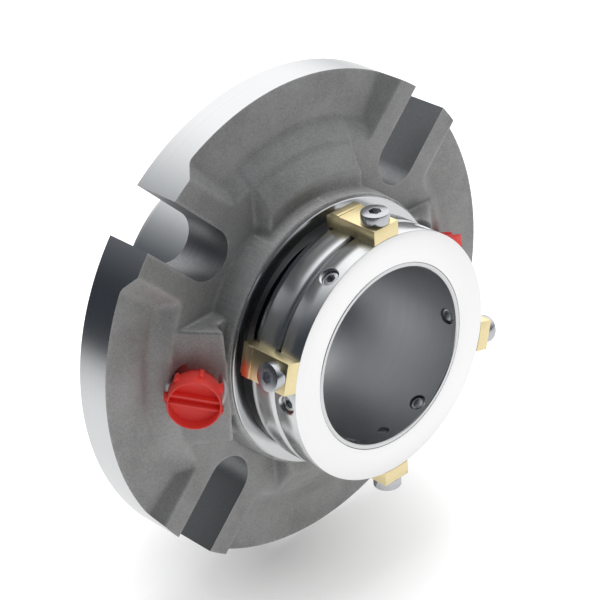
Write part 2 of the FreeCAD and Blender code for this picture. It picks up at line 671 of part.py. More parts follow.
def clip_form():
    """A bar that lies on the clamp ring, with a rib, a low tail and a foot behind the ring."""
    front = "clip_setback - collar_front"
    rear = "-lip_face - clip_gap"
    top = "collar_radius + clip_height"
    tail_top = f"{top} - clip_tail_drop"
    rib_top = f"{top} + clip_rib_height"
    body = new_body("clip_body")
    pad(body, "clip_bar", "YZ_Plane", [
        (front, "collar_radius - 1"),
        ("-collar_back", "collar_radius - 1"),
        ("-collar_back", "collar_radius + clip_notch"),
        (f"{rear} - clip_foot", "collar_radius + clip_notch"),
        (f"{rear} - clip_foot", "collar_radius - clip_foot_depth"),
        (rear, "collar_radius - clip_foot_depth"),
        (rear, tail_top),
        (f"{rear} - clip_tail", tail_top),
        (f"{rear} - clip_tail", rib_top),
        (f"{rear} - clip_tail - clip_rib", rib_top),
        (f"{rear} - clip_tail - clip_rib", top),
        (front, top),
    ], "clip_width", symmetric=True)
    seat = bar("clip_seat", "collar_radius", "-collar_front - 1", "-collar_back")
    hole = radial_bar("clip_bar_hole", "shank_radius + 3 * fit_gap", "collar_radius - 2",
                      "collar_radius + clip_height + 2")
    bored = stand_out(hole, "clip_bar_hole_up", "0", CLIP_PLANE, 90)
    return cut("clip_form", body, gather("Part::Compound", "clip_cutters", [seat, bored]))


def clip_screw():
    """A low-head socket screw, its head's underside at Y = 0."""
    form = turned("clip_screw_form", [
        ("0", "-head_height"),
        ("head_radius - screw_edge", "-head_height"),
        ("head_radius", "screw_edge - head_height"),
        ("head_radius", "0"),
        ("shank_radius", "0"),
        ("shank_radius", "shank_length - screw_edge"),
        ("shank_radius - screw_edge", "shank_length"),
        ("0", "shank_length"),
    ])
    socket = hexagon("clip_screw_socket", "head_socket", "-head_height - 1",
                     "socket_depth - head_height")
    return cut("clip_screw", form, socket)


def setting_clips():
    form, screw = clip_form(), clip_screw()
    for side, angle in CLIP_ANGLES.items():
        finish(turn_round(form, f"clip_{side}", angle - 90), f"setting_clip_{side}")
        finish(stand_out(screw, f"screw_{side}", "collar_radius + clip_height", CLIP_PLANE, angle),
               f"clip_screw_{side}")


# Port plugs

def port_plug():
    """A screw-in plug that stands off its boss: a head with grip lugs, a deep recess and two bars."""
    base = "-plug_stand"
    face = "-plug_stand - plug_height"
    inner = "plug_radius - plug_taper - plug_rim"
    shank = "port_thread - 2 * fit_gap"
    head = turned("plug_head", [
        ("0", f"{face} + plug_recess"),
        (inner, f"{face} + plug_recess"),
        (inner, face),
        ("plug_radius - plug_taper", face),
        ("plug_radius", base),
        (shank, base),
        (shank, "plug_shank - plug_stand - 1"),
        ("port_thread - 1", "plug_shank - plug_stand"),
        ("0", "plug_shank - plug_stand"),
    ])
    bars = []
    for side, low in (("upper", "plug_slot / 2"), ("lower", "-plug_slot / 2 - plug_bar")):
        item = doc.addObject("Part::Box", f"plug_bar_{side}")
        bars.append(bind(item, Length=f"2 * ({inner})", Width="plug_recess - plug_bar_drop",
                         Height="plug_bar", Placement__Base__x=f"-({inner})",
                         Placement__Base__y=f"{face} + plug_bar_drop", Placement__Base__z=low))
    grip = turn_round(gather("Part::Compound", "plug_bars", bars), "plug_grip", SIZE["plug_tilt"])
    lug = doc.addObject("Part::Box", "plug_lug")
    bind(lug, Length="lug_reach + 1", Width="lug_height", Height="lug_width",
         Placement__Base__x="plug_radius - 1", Placement__Base__y=f"{base} - lug_height",
         Placement__Base__z="-lug_width / 2")
    lugs = [turn_round(lug, f"plug_lug_{i}", LUG_START + 360 * i / LUGS) for i in range(LUGS)]
    return fuse("port_plug", [head, grip] + lugs)


# Seal faces and what carries them

def stationary_ring():
    """The carbon ring that the wave spring presses against the rotary ring."""
    back = "chamber_floor + wave_height"
    body = "ring_bore + stationary_wall"
    shoulder = "face_plane - face_proud"
    form = turned("stationary_form", [
        ("ring_bore", back), (body, back), (body, shoulder), ("face_outer", shoulder),
        ("face_outer", "face_plane"), ("face_inner", "face_plane"), ("face_inner", shoulder),
        ("ring_bore", shoulder),
    ])
    hole_end = f"{back} + pin_reach + slide_travel + 0.4"
    holes = [pin_bar(f"slide_hole_{angle}", "slide_gap", f"{back} - 1", hole_end, "pin_circle", angle)
             for angle in PIN_ANGLES]
    return finish(cut("stationary", form, gather("Part::Compound", "slide_holes", holes)),
                  "stationary_ring")


def rotary_ring():
    """The hard ring in the sleeve's head, with a step for its O-ring."""
    step = "rotary_radius - cord - 2 * fit_gap"
    form = turned("rotary_form", [
        ("ring_bore", "face_plane"), ("rotary_radius", "face_plane"),
        ("rotary_radius", "face_plane + 0.6 * rotary_length"),
        (step, "face_plane + 0.6 * rotary_length"), (step, "face_plane + rotary_length"),
        ("ring_bore", "face_plane + rotary_length"),
    ])
    end = "face_plane + rotary_length"
    holes = [pin_bar(f"rotary_hole_{angle}", "2 * fit_gap", f"{end} - drive_reach - 4 * fit_gap", f"{end} + 1",
                     "drive_circle", angle) for angle in PIN_ANGLES]
    return finish(cut("rotary", form, gather("Part::Compound", "rotary_holes", holes)),
                  "rotary_ring")


def pins(label, start, end, circle):
    """A pair of dowel pins in one node."""
    pair = [pin_bar(f"{label}_{angle}", "0", start, end, circle, angle) for angle in PIN_ANGLES]
    return finish(gather("Part::Compound", label, pair), label)


def wave_edge(radius, level, swing):
    """A closed curve round Y that rises and falls by swing about a level."""
    count = 12 * WAVES
    points = []
    for i in range(count):
        angle = 2 * math.pi * i / count
        height = level + swing * math.cos(WAVES * angle)
        points.append(FreeCAD.Vector(radius * math.cos(angle), height, radius * math.sin(angle)))
    curve = Part.BSplineCurve()
    curve.interpolate(Points=points, PeriodicFlag=True)
    return curve.toShape()


def wave_spring():
    """A flat strip wound to a ring, its waves between the chamber floor and the stationary ring."""
    sheet_thickness = SIZE["wave_sheet"]
    middle = SIZE["chamber_floor"] + SIZE["wave_height"] / 2
    swing = (SIZE["wave_height"] - sheet_thickness) / 2
    low, high = middle - sheet_thickness / 2, middle + sheet_thickness / 2
    radii = (SIZE["wave_inner"], SIZE["wave_outer"])
    edges = [wave_edge(radii[0], low, swing), wave_edge(radii[1], low, swing),
             wave_edge(radii[1], high, swing), wave_edge(radii[0], high, swing)]
    faces = [Part.makeRuledSurface(edges[i], edges[(i + 1) % 4]) for i in range(4)]
    feature = doc.addObject("Part::Feature", "wave_spring_feature")
    solid = Part.makeSolid(Part.makeShell(faces))
    if solid.Volume < 0:
        solid.reverse()
    feature.Shape = solid
    return finish(feature, "wave_spring")


def throttle_bush():
    bore = "sleeve_radius + free_gap"
    end = "bush_length - bush_front"
    body = turned("bush_form", [
        (bore, "-bush_front"), ("bush_bore - fit_gap", "-bush_front"),
        ("bush_bore - fit_gap", end), (bore, end),
    ])
    return finish(body, "throttle_bush")


# Assembly

gland_plate()
o_ring("gland_o_ring", "chamber_mouth + spigot_wall / 2", "spigot_length - 0.3 * cord")
throttle_bush()
open_ring("bush_retaining_ring", "bush_bore + snap_ring - fit_gap - snap_width",
          "bush_bore + snap_ring - fit_gap", "bush_length - bush_front + 2 * fit_gap")
o_ring("stationary_o_ring", "chamber_radius + 0.45 * cord", "stationary_groove")
pins("anti_rotation_pins", "chamber_floor - pin_root",
     "chamber_floor + wave_height + pin_reach", "pin_circle")
wave_spring()
stationary_ring()

rotary_ring()
o_ring("rotary_o_ring", "rotary_radius - cord / 2",
       "face_plane + 0.8 * rotary_length + fit_gap")
pins("rotary_drive_pins", "face_plane + rotary_length - drive_reach",
     "head_seat + drive_root", "drive_circle")
o_ring("sleeve_o_ring", "shaft_radius + cord / 2 + 1.5 * fit_gap", "sleeve_groove")
key_hole = radial_bar("key_hole", "key_radius + fit_gap", "shaft_radius - 2", f"{HOLE_END} + 0.2")
through_holes = rotor_holes(grub_hole(), key_hole)
shaft_sleeve(through_holes)
clamp_ring(through_holes)
open_ring("clamp_retaining_ring", "sleeve_radius - sleeve_wall / 2 + fit_gap",
          "sleeve_radius - sleeve_wall / 2 + fit_gap + snap_width", RING_FRONT)
grub = grub_screw()
for i, angle in enumerate(GRUB_ANGLES, 1):
    finish(stand_out(grub, f"grub_{i}", "0", GRUB_PLANE, angle), f"grub_screw_{i}")
key = drive_screw()
for i, angle in enumerate(KEY_ANGLES, 1):
    finish(stand_out(key, f"key_{i}", "0", CLIP_PLANE, angle), f"drive_screw_{i}")
setting_clips()
plug = port_plug()
for side in PORT_ANGLES:
    finish(at_port(plug, f"plug_{side}", side), f"port_plug_{side}")


# Checks and export

doc.recompute()
for item in doc.Objects:
    if any(word in item.State for word in ("Invalid", "Error")):
        raise RuntimeError(f"{item.Name} failed: {item.State}")
for node in nodes:
    shape = node.Shape
    if shape.isNull() or not shape.isValid():
        raise RuntimeError(f"{node.Label} has no valid shape")
    shape.exportStep(f"parts/{node.Label}.step")
    print(node.Label, len(shape.Solids), round(shape.Volume, 1))
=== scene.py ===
# %% [markdown]
# # A cartridge mechanical seal
# A cartridge seal slides over a pump's shaft as one unit. A cast gland bolts to the pump, a turned
# clamp ring grips the shaft in front of it, and brass clips hold the two at the right distance until
# the seal is fitted. This lesson dresses the engineering model of such a seal for a studio picture.
# The model comes in as a fixed frame in metres, with the seal's axis along Y and its front towards -Y.

# %% Load the frame
import math

import bmesh
import bpy
from mathutils import Matrix, Vector


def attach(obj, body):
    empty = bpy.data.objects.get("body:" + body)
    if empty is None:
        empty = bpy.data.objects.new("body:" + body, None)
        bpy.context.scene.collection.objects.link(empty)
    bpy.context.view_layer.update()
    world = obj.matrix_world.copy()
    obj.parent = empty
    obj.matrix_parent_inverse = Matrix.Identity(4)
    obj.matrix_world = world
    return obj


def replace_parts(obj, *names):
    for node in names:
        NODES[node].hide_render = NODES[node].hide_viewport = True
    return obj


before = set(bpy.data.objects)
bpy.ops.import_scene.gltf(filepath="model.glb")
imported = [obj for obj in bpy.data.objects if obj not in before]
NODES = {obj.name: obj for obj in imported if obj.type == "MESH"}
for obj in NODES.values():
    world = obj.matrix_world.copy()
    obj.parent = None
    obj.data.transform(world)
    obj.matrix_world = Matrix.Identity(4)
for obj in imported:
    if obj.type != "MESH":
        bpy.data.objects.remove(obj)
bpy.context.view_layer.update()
MM = 0.001

# %% [markdown]
# ## The camera
# Every circle on the seal is round the same axis, so the ellipses in the photograph give the camera:
# where it stands, which way it is turned and how long its lens is. The camera's own axes, right, up
# and back, are written as the columns of its rotation, so no angles have to be worked out.

# %% The photograph's camera
camera_data = bpy.data.cameras.new("studio_camera")
camera_data.sensor_width = 36
camera_data.lens = 141.15
camera_data.clip_end = 20
camera = bpy.data.objects.new("studio_camera", camera_data)
bpy.context.scene.collection.objects.link(camera)
right = Vector((0.7210, -0.6900, -0.0630))
up = Vector((0.3844, 0.3226, 0.8650))
back = Vector((-0.5766, -0.6479, 0.4978))
turn = Matrix((right, up, back)).transposed()
camera.matrix_world = Matrix.Translation(Vector((-480.6, -553.8, 420.6)) * MM) @ turn.to_4x4()
bpy.context.scene.camera = camera
print("camera at", [round(x, 3) for x in camera.location])

# %% [markdown]
# ## Small helpers
# Sizes are written in millimetres. Each new mesh is made an object by one function and smoothed by
# another, which keeps its hard corners. Modifiers are applied on the way.

# %% Make a mesh an object
CORNER, SOFT_CORNER = 32, 60


def settle(piece):
    """Apply a piece's modifiers."""
    graph = bpy.context.evaluated_depsgraph_get()
    piece.data = bpy.data.meshes.new_from_object(piece.evaluated_get(graph))
    piece.modifiers.clear()


def finished(name, mesh, *materials):
    """An object from a bmesh, with its faces outwards and its materials in order."""
    bmesh.ops.recalc_face_normals(mesh, faces=mesh.faces)
    data = bpy.data.meshes.new(name)
    mesh.to_mesh(data)
    mesh.free()
    for material in materials:
        data.materials.append(material)
    piece = bpy.data.objects.new(name, data)
    bpy.context.scene.collection.objects.link(piece)
    return piece


def smooth(piece, corner=CORNER, soft=()):
    """Smooth a piece except at its corners, which are blunter inside the materials in soft."""
    mesh = bmesh.new()
    mesh.from_mesh(piece.data)
    for face in mesh.faces:
        face.smooth = True
    for edge in mesh.edges:
        inside = len(edge.link_faces) == 2 and all(f.material_index in soft for f in edge.link_faces)
        edge.smooth = edge.calc_face_angle(math.pi) < math.radians(SOFT_CORNER if inside else corner)
    mesh.to_mesh(piece.data)
    mesh.free()
    return piece


print("corners stay hard from", CORNER, "degrees")

# %% Spin a profile round the seal's axis
SHARP = math.radians(40)
SAME_PLACE = 0.002 * MM


def lathe(profile, steps, edge=0.0):
    """A closed profile of (radius, y) in millimetres, spun round Y. Its corners can be broken."""
    mesh = bmesh.new()
    points = [mesh.verts.new((radius * MM, y * MM, 0)) for radius, y in profile]
    pairs = zip(points, points[1:] + points[:1])
    lines = [mesh.edges.new((a, b)) for a, b in pairs if a.co.x + b.co.x > 0]
    bmesh.ops.spin(mesh, geom=points + lines, cent=(0, 0, 0), axis=(0, 1, 0), dvec=(0, 0, 0),
                   angle=math.tau, steps=steps, use_merge=True)
    bmesh.ops.remove_doubles(mesh, verts=mesh.verts, dist=SAME_PLACE)
    bmesh.ops.recalc_face_normals(mesh, faces=mesh.faces)
    if edge:
        corners = [e for e in mesh.edges if e.calc_face_angle(0) > SHARP]
        bmesh.ops.bevel(mesh, geom=corners, offset=edge * MM, offset_type="OFFSET", affect="EDGES",
                        segments=2, profile=0.5, material=-1, clamp_overlap=True)
    return mesh


def mark(mesh, number, test):
    """Give a material number to the faces that pass a test on their radius and y in millimetres."""
    for face in mesh.faces:
        middle = face.calc_center_median() / MM
        if test(middle.xz.length, middle.y):
            face.material_index = number


print("turned edges are broken from", round(math.degrees(SHARP)), "degrees")

# %% Rods, turns and copies
def rod(radius, start, end, segments=48):
    """A closed rod along Y, from start to end in millimetres."""
    mesh = bmesh.new()
    stand = Matrix.Translation((0, (start + end) / 2 * MM, 0)) @ Matrix.Rotation(-math.pi / 2, 4, "X")
    bmesh.ops.create_cone(mesh, cap_ends=True, segments=segments, radius1=radius * MM,
                          radius2=radius * MM, depth=(end - start) * MM, matrix=stand)
    return mesh


def around(angle):
    """A turn about the seal's axis, from +X towards +Z."""
    return Matrix.Rotation(math.radians(-angle), 4, "Y")


def facing(angle, y=0.0, radius=0.0):
    """Turn a shape made along Y so that its front (-Y) points away from the axis at an angle."""
    outwards = Matrix.Rotation(math.pi / 2, 4, "Z")
    outside = Matrix.Translation((0, -radius * MM, 0))
    return Matrix.Translation((0, y * MM, 0)) @ around(angle) @ outwards @ outside


def points_of(geometry):
    """The vertices among what an operator gives back."""
    return [g for g in geometry if isinstance(g, bmesh.types.BMVert)]


def repeated(mesh, places):
    """Copies of a shape at several places, in one mesh, in place of the first one."""
    first = mesh.verts[:] + mesh.edges[:] + mesh.faces[:]
    for place in places:
        copy = bmesh.ops.duplicate(mesh, geom=first)["geom"]
        bmesh.ops.transform(mesh, matrix=place, verts=points_of(copy))
    bmesh.ops.delete(mesh, geom=points_of(first), context="VERTS")
    return mesh


print("helpers ready, front goes to", facing(90) @ Vector((0, -1, 0)))

# %% [markdown]
# ## Materials
# A colour is written as it looks on a screen, in hexadecimal, and one function turns it to the linear
# light that the renderer adds up. A second function adds a node with its settings and its inputs, and
# a few short ones after it add the nodes that come again and again. The patterns read Object
# coordinates, so they stay on the metal from every side.

# %% Colours and nodes
def linear(hex_colour):
    """An sRGB hex colour as linear RGBA."""
    channels = [int(hex_colour[i:i + 2], 16) / 255 for i in (1, 3, 5)]
    return [c / 12.92 if c <= 0.04045 else ((c + 0.055) / 1.055) ** 2.4 for c in channels] + [1]


def add_node(tree, kind, settings={}, inputs={}):
    """Add a node. An input is a value or another node's output, named or numbered."""
    node = tree.nodes.new(kind)
    for name, value in settings.items():
        setattr(node, name, value)
    for name, value in inputs.items():
        if isinstance(value, bpy.types.NodeSocket):
            tree.links.new(value, node.inputs[name])
        else:
            node.inputs[name].default_value = value
    return node


def new_material(name):
    """An empty material, its node tree and its output node."""
    material = bpy.data.materials.new(name)
    material.use_nodes = True
    material.node_tree.nodes.clear()
    return material, material.node_tree, add_node(material.node_tree, "ShaderNodeOutputMaterial")


print("mid grey in linear light:", [round(c, 3) for c in linear("#808080")[:3]])

# %% Nodes that come again
def object_place(tree):
    """The place on the piece, in metres."""
    return add_node(tree, "ShaderNodeTexCoord").outputs["Object"]


def noise(tree, place, scale, detail, roughness=0.5):
    """A noise from 0 to 1 with so many waves to the metre."""
    return add_node(tree, "ShaderNodeTexNoise", {}, {
        "Vector": place, "Scale": scale, "Detail": detail, "Roughness": roughness}).outputs["Fac"]


def reckon(tree, operation, *values):
    """The result of a Math node."""
    return add_node(tree, "ShaderNodeMath", {"operation": operation}, dict(enumerate(values))).outputs[0]


def spread(tree, value, low, high, new_low=0.0, new_high=1.0, way="LINEAR"):
    """Stretch the range of a value onto a new one."""
    return add_node(tree, "ShaderNodeMapRange", {"interpolation_type": way}, {
        "Value": value, "From Min": low, "From Max": high,
        "To Min": new_low, "To Max": new_high}).outputs[0]


def scaled(tree, colour, factor):
    """A colour made lighter or darker."""
    return add_node(tree, "ShaderNodeVectorMath", {"operation": "SCALE"},
                    {0: colour, "Scale": factor}).outputs[0]


def bumps(tree, height, strength, depth, **more):
    """A bumpy normal. The depth is in millimetres."""
    return add_node(tree, "ShaderNodeBump", {}, {
        "Strength": strength, "Distance": depth * MM, "Height": height, **more}).outputs[0]


NOISE_LOW, NOISE_HIGH = 0.3, 0.7
print("most of a noise lies between", NOISE_LOW, "and", NOISE_HIGH)

# %% [markdown]
# ### Cast stainless steel
# The gland is cast and then blasted, which leaves a dull, even grey. The real grit is finer than the
# picture can show, so it is drawn about 0.7 mm coarse, on a skin that waves gently over some 8 mm.
# Two noises give these bumps. A third one, broader still, shifts the grey together with the grit,
# because no blasting is quite even. Pointiness, which tells ridges from hollows, makes the edges a
# little lighter as a painted highlight and the creases darker as painted shade.

# %% Blasted casting
def blasted_casting(name, light, dark):
    material, tree, output = new_material(name)
    place = object_place(tree)
    grit = noise(tree, place, 1500, 3, 0.7)
    skin = noise(tree, place, 130, 2)
    patches = noise(tree, place, 55, 4, 0.6)
    tone = spread(tree, reckon(tree, "MULTIPLY_ADD", grit, 1.2, patches), 0.8, 1.4)
    colour = add_node(tree, "ShaderNodeMix", {"data_type": "RGBA"},
                      {0: tone, 6: linear(dark), 7: linear(light)}).outputs[2]
    ridges = add_node(tree, "ShaderNodeNewGeometry").outputs["Pointiness"]
    # Painted highlight on the ridges and painted shade in the creases, both from pointiness.
    painted_ridge_light_and_crease_shade = scaled(tree, colour, spread(tree, ridges, 0.45, 0.55, 0.8, 1.2))
    waves = bumps(tree, skin, 0.25, 0.25)
    grains = bumps(tree, grit, 0.5, 0.1, Normal=waves)
    metal = add_node(tree, "ShaderNodeBsdfPrincipled", {}, {
        "Base Color": painted_ridge_light_and_crease_shade, "Metallic": 0.8, "Roughness": 0.62, "Normal": grains})
    tree.links.new(metal.outputs[0], output.inputs["Surface"])
    return material


cast_steel = blasted_casting("blasted_cast_stainless_steel", "#B9B9B9", "#999998")
print("casting:", len(cast_steel.node_tree.nodes), "nodes")

# %% [markdown]
# ### Turned stainless steel
# A lathe leaves fine circles round the axis, too close together for the picture, so here they are
# about 0.4 mm apart. They come from a noise that is looked up by radius and by the place along the
# axis, with only a little change round the turn. The shader's anisotropy stretches the gloss one way:
# a little on the flange's rim, more on the clamp ring and most in the bore. The faced, honed, milled,
# drawn and rolled surfaces are the same finish with other values. The faced steel's near-white colour
# is a painted highlight on the ring's front, and the milled steel's dark colour is painted shade in the
# bolt slots.

# %% Turned metal
def turned_metal(name, colour, roughness, streak, spacing=0.4, stretch=0.3):
    """Steel with circles round Y: how dark they are, how far apart in mm, and its anisotropy."""
    material, tree, output = new_material(name)
    place = object_place(tree)
    flat = add_node(tree, "ShaderNodeVectorMath", {"operation": "MULTIPLY"}, {0: place, 1: (1, 0, 1)})
    radius = add_node(tree, "ShaderNodeVectorMath", {"operation": "LENGTH"}, {0: flat.outputs[0]})
    parts = add_node(tree, "ShaderNodeSeparateXYZ", {}, {0: place}).outputs
    drift = reckon(tree, "MULTIPLY", reckon(tree, "ARCTAN2", parts["Z"], parts["X"]), 0.3 * MM)
    rings = add_node(tree, "ShaderNodeCombineXYZ", {}, {
        "X": radius.outputs["Value"], "Y": parts["Y"], "Z": drift})
    fine = noise(tree, rings.outputs[0], 1 / (spacing * MM), 2)
    tone = spread(tree, fine, NOISE_LOW, NOISE_HIGH, 1 - streak, 1)
    dull = spread(tree, fine, NOISE_LOW, NOISE_HIGH, roughness * 1.1, roughness * 0.92)
    along = add_node(tree, "ShaderNodeTangent", {"direction_type": "RADIAL", "axis": "Y"})
    metal = add_node(tree, "ShaderNodeBsdfPrincipled", {}, {
        "Base Color": scaled(tree, linear(colour)[:3], tone), "Metallic": 1, "Roughness": dull,
        "Normal": bumps(tree, fine, 0.03, 0.01), "Anisotropic": stretch, "Tangent": along.outputs[0]})
    tree.links.new(metal.outputs[0], output.inputs["Surface"])
    return material


turned_steel = turned_metal("fine_turned_stainless_steel", "#D6D7D8", 0.2, 0.03)
ring_steel = turned_metal("turned_ring_stainless_steel", "#DEDFE0", 0.24, 0.03, stretch=0.6)
# Painted highlight: the faced steel is near white, brighter than the other steel.
faced_steel_painted_highlight = turned_metal("faced_stainless_steel_painted_highlight", "#FCFCFC", 0.30, 0.01)
bore_steel = turned_metal("honed_stainless_steel", "#BDBEC0", 0.32, 0.03, spacing=0.8, stretch=0.75)
# Painted shade: the milled steel in the bolt slots is darker than the other steel.
milled_steel_painted_shade = turned_metal("milled_stainless_steel_painted_shade", "#8E8F91", 0.5, 0.10, spacing=0.7)
screw_steel = turned_metal("bright_drawn_stainless_steel", "#C6C8CC", 0.26, 0.03)
spring_steel = turned_metal("rolled_spring_steel", "#8F9296", 0.32, 0.12)
print("turned finishes:", turned_steel.name, ring_steel.name, faced_steel_painted_highlight.name, bore_steel.name)

# %% [markdown]
# ### Brass, red plastic, carbon and rubber
# The clips are milled from brass, a yellow metal with a satin face. The port plugs are moulded in red
# polyethylene, waxy and half glossy, so they get a little light under the skin. The seal faces are
# lapped carbon and silicon carbide, and the O-rings are black rubber. All of them are one plain
# material with a fine grain, which keeps their faces from looking like paint.

# %% Brass
def grained(name, colour, metallic, roughness, grain, depth, shift=0.08, **extra):
    """A plain solid material with a fine grain, its size and depth in millimetres."""
    material, tree, output = new_material(name)
    fine = noise(tree, object_place(tree), 1 / (grain * MM), 3)
    tone = spread(tree, fine, NOISE_LOW, NOISE_HIGH, 1 - shift, 1)
    dull = spread(tree, fine, NOISE_LOW, NOISE_HIGH, roughness * 1.15, roughness * 0.9)
    solid = add_node(tree, "ShaderNodeBsdfPrincipled", {}, {
        "Base Color": scaled(tree, linear(colour)[:3], tone), "Metallic": metallic,
        "Roughness": dull, "Normal": bumps(tree, fine, 0.4, depth), **extra})
    tree.links.new(solid.outputs[0], output.inputs["Surface"])
    return material


brass = grained("milled_brass", "#F8E7B6", 1, 0.30, 0.5, 0.01)
print("brass:", brass.name)

# %% Plastic, carbon and rubber
UNDER_THE_SKIN = {
    "Subsurface Weight": 0.12, "Subsurface Scale": 1.5 * MM, "Subsurface Radius": (1.0, 0.25, 0.1),
}
red_plastic = grained("moulded_red_polyethylene", "#FA4E47", 0, 0.36, 1.2, 0.03, 0.06, **UNDER_THE_SKIN)
carbon = grained("lapped_carbon_graphite", "#37373A", 0, 0.4, 0.4, 0.005)
carbide = grained("lapped_silicon_carbide", "#4A4B50", 0, 0.22, 0.4, 0.003)
rubber = grained("moulded_fluoroelastomer", "#222224", 0, 0.5, 0.6, 0.02)
print("others:", red_plastic.name, carbon.name, carbide.name, rubber.name)

# %% [markdown]
# ## The gland
# The gland is a casting that was machined where it matters. Its cast front has no hard line: the pads
# round the bolt slots, the cone at the hub and the bosses of the two ports run into each other through
# fillets. Such fillets are easy once every form is written as a distance, how far a point lies outside
# it. Two forms are then joined, or one is kept inside another, with a rounded corner of a chosen size.

# %% Rounded corners between two forms
def join(a, b, fillet):
    """The distance to two forms together, with a fillet where they meet."""
    overlap = max(fillet - abs(a - b), 0) / fillet
    return min(a, b) - overlap * overlap * fillet / 4


def keep(a, b, rounding):
    """The distance to what two forms share, with its edge rounded."""
    return -join(-a, -b, rounding)


def drafted(distance, height, level, draft):
    """A side that leans back by its draft, from the distance outside its line at a level."""
    lean = math.radians(draft)
    return distance * math.cos(lean) + (height - level) * math.sin(lean)


print("two walls 1 mm away, joined:", join(1, 1, 2))

# %% [markdown]
# The forms are those of the engineering model: the flange, whose face slopes near its rim, the pads,
# the cone at the top and the bottom with its shallow channel, and the two port bosses, each with one
# flat face at 45 degrees. Heights are measured from the gland's mounting face. A sloping side is
# multiplied by the cosine of its slope, which turns a drop in height into a true distance.

# %% Sizes of the casting
LAND_TOP, PAD_TOP, CHANNEL_TOP, CONE_TOP, LIP_TOP = 15.4, 19.9, 26.1, 26.8, 31
LAND_EDGE, LAND_FALL = 76, 0.0857
CONE_RADIUS, CONE_FALL, CONE_COSINE = 56.5, 0.704, 0.8177
CHANNEL_RADIUS, CHANNEL_RISE, CHANNEL_COSINE = 50.9, 0.125, 0.9923
NECK_RADIUS, NECK_LEAN = 49.9, 0.063
PAD_HALF, PAD_DRAFT = 18.1, 46
HUB_HALF, HUB_DRAFT = 23.3, 14
BOSS_HALF, BOSS_DRAFT = 23.0, 6
BOSS_FACE, HALF_RIGHT_COSINE = 81.2, 0.7071
BOSS_BACK, BOSS_LEAN, BOSS_COSINE = 50.2, 0.306, 0.956
SLOTS = (45, 135, 225, 315)
PAD_LINES = [(math.cos(math.radians(angle)), math.sin(math.radians(angle))) for angle in SLOTS[:2]]
print("pads rise", round(PAD_TOP - LAND_TOP, 1), "mm above the flange")

# %% Forms of the casting
def cone(height, radius):
    return (height - CONE_TOP + CONE_FALL * (radius - CONE_RADIUS)) * CONE_COSINE


def port_boss(x, height, z):
    side = drafted(abs(z) - BOSS_HALF, height, PAD_TOP, BOSS_DRAFT)
    face = (abs(x) + height - BOSS_FACE) * HALF_RIGHT_COSINE
    behind = (BOSS_BACK - (LIP_TOP - height) * BOSS_LEAN - abs(x)) * BOSS_COSINE
    ridge = keep(face, join(behind, height - CHANNEL_TOP, fillet=1.0), rounding=0.8)
    return keep(ridge, side, rounding=1.4)


def hub(x, height, radius):
    channel = (height - CHANNEL_TOP - CHANNEL_RISE * (radius - CHANNEL_RADIUS)) * CHANNEL_COSINE
    side = drafted(abs(x) - HUB_HALF, height, PAD_TOP, HUB_DRAFT)
    return keep(keep(cone(height, radius), channel, rounding=0.7), side, rounding=1.4)


def casting(x, height, z):
    """How far a point lies outside the casting, all in millimetres."""
    radius = math.hypot(x, z)
    land = height - LAND_TOP + max(0, radius - LAND_EDGE) * LAND_FALL
    plan = cone(height, radius)
    for c, s in PAD_LINES:
        side = drafted(abs(z * c - x * s) - PAD_HALF, height, PAD_TOP, PAD_DRAFT)
        plan = join(plan, side, fillet=1.5)
    solid = join(land, keep(height - PAD_TOP, plan, rounding=0.5), fillet=1.2)
    solid = join(solid, hub(x, height, radius), fillet=1.4)
    solid = join(solid, port_boss(x, height, z), fillet=1.4)
    neck = radius - NECK_RADIUS - (LIP_TOP - height) * NECK_LEAN
    return join(solid, neck, fillet=2.5)


print("a point on a pad is", round(casting(0.707 * 75, PAD_TOP, 0.707 * 75), 2), "mm away")

# %% [markdown]
# The front is a fine grid. Its lines stand closer where the bosses and the hub have their steep walls,
# and each of its points sinks until it meets the casting: its height is halved in on, twelve times.
# The grid and its deep rim together are the air in front of the gland, which is later cut out of a
# thick turned blank, like the mould that shaped the real one.

# %% Grid that follows the casting
LINES = ((0, 0), (31, 20.5), (48, 25.5), (81, 47.5), (91, 51.5), (154, 93))
LAST = LINES[-1][0]
DEEPEST, HIGHEST = 12.0, 30.98
INNER_EDGE, OUTER_EDGE = 49.5, 91.5
AIR_EDGE, AIR_FRONT = 91.2, -50


def line_place(number):
    """The place of a grid line by its number, counted from the middle."""
    (a, start), (b, end) = next(p for p in zip(LINES, LINES[1:]) if abs(number) <= p[1][0] + 0.001)
    return math.copysign(start + (end - start) * (abs(number) - a) / (b - a), number)


def front_height(x, z):
    low, high = DEEPEST, HIGHEST
    if not INNER_EDGE < math.hypot(x, z) < OUTER_EDGE:
        return low + 1
    for _ in range(12):
        middle = (low + high) / 2
        if casting(x, middle, z) > 0:
            high = middle
        else:
            low = middle
    return low


air = bmesh.new()
bmesh.ops.create_grid(air, x_segments=2 * LAST, y_segments=2 * LAST, size=LAST)
for vertex in air.verts:
    x, z = line_place(vertex.co.x), line_place(vertex.co.y)
    vertex.co = Vector((x, -front_height(x, z), z)) * MM
far = [f for f in air.faces if f.calc_center_median().xz.length > AIR_EDGE * MM]
bmesh.ops.delete(air, geom=far, context="FACES")
wall = bmesh.ops.extrude_edge_only(air, edges=[e for e in air.edges if e.is_boundary])["geom"]
for vertex in points_of(wall):
    vertex.co.y = AIR_FRONT * MM
bmesh.ops.contextual_create(air, geom=[e for e in air.edges if e.is_boundary])
print("air in front:", len(air.faces), "faces")

# %% [markdown]
# The blank is turned, with every bore and groove in place. The air keeps clear of the lip because a
# turned plug of the neck's size is taken out of it first. The plug's rounded shoulder leaves the soft
# step at the lip's foot.

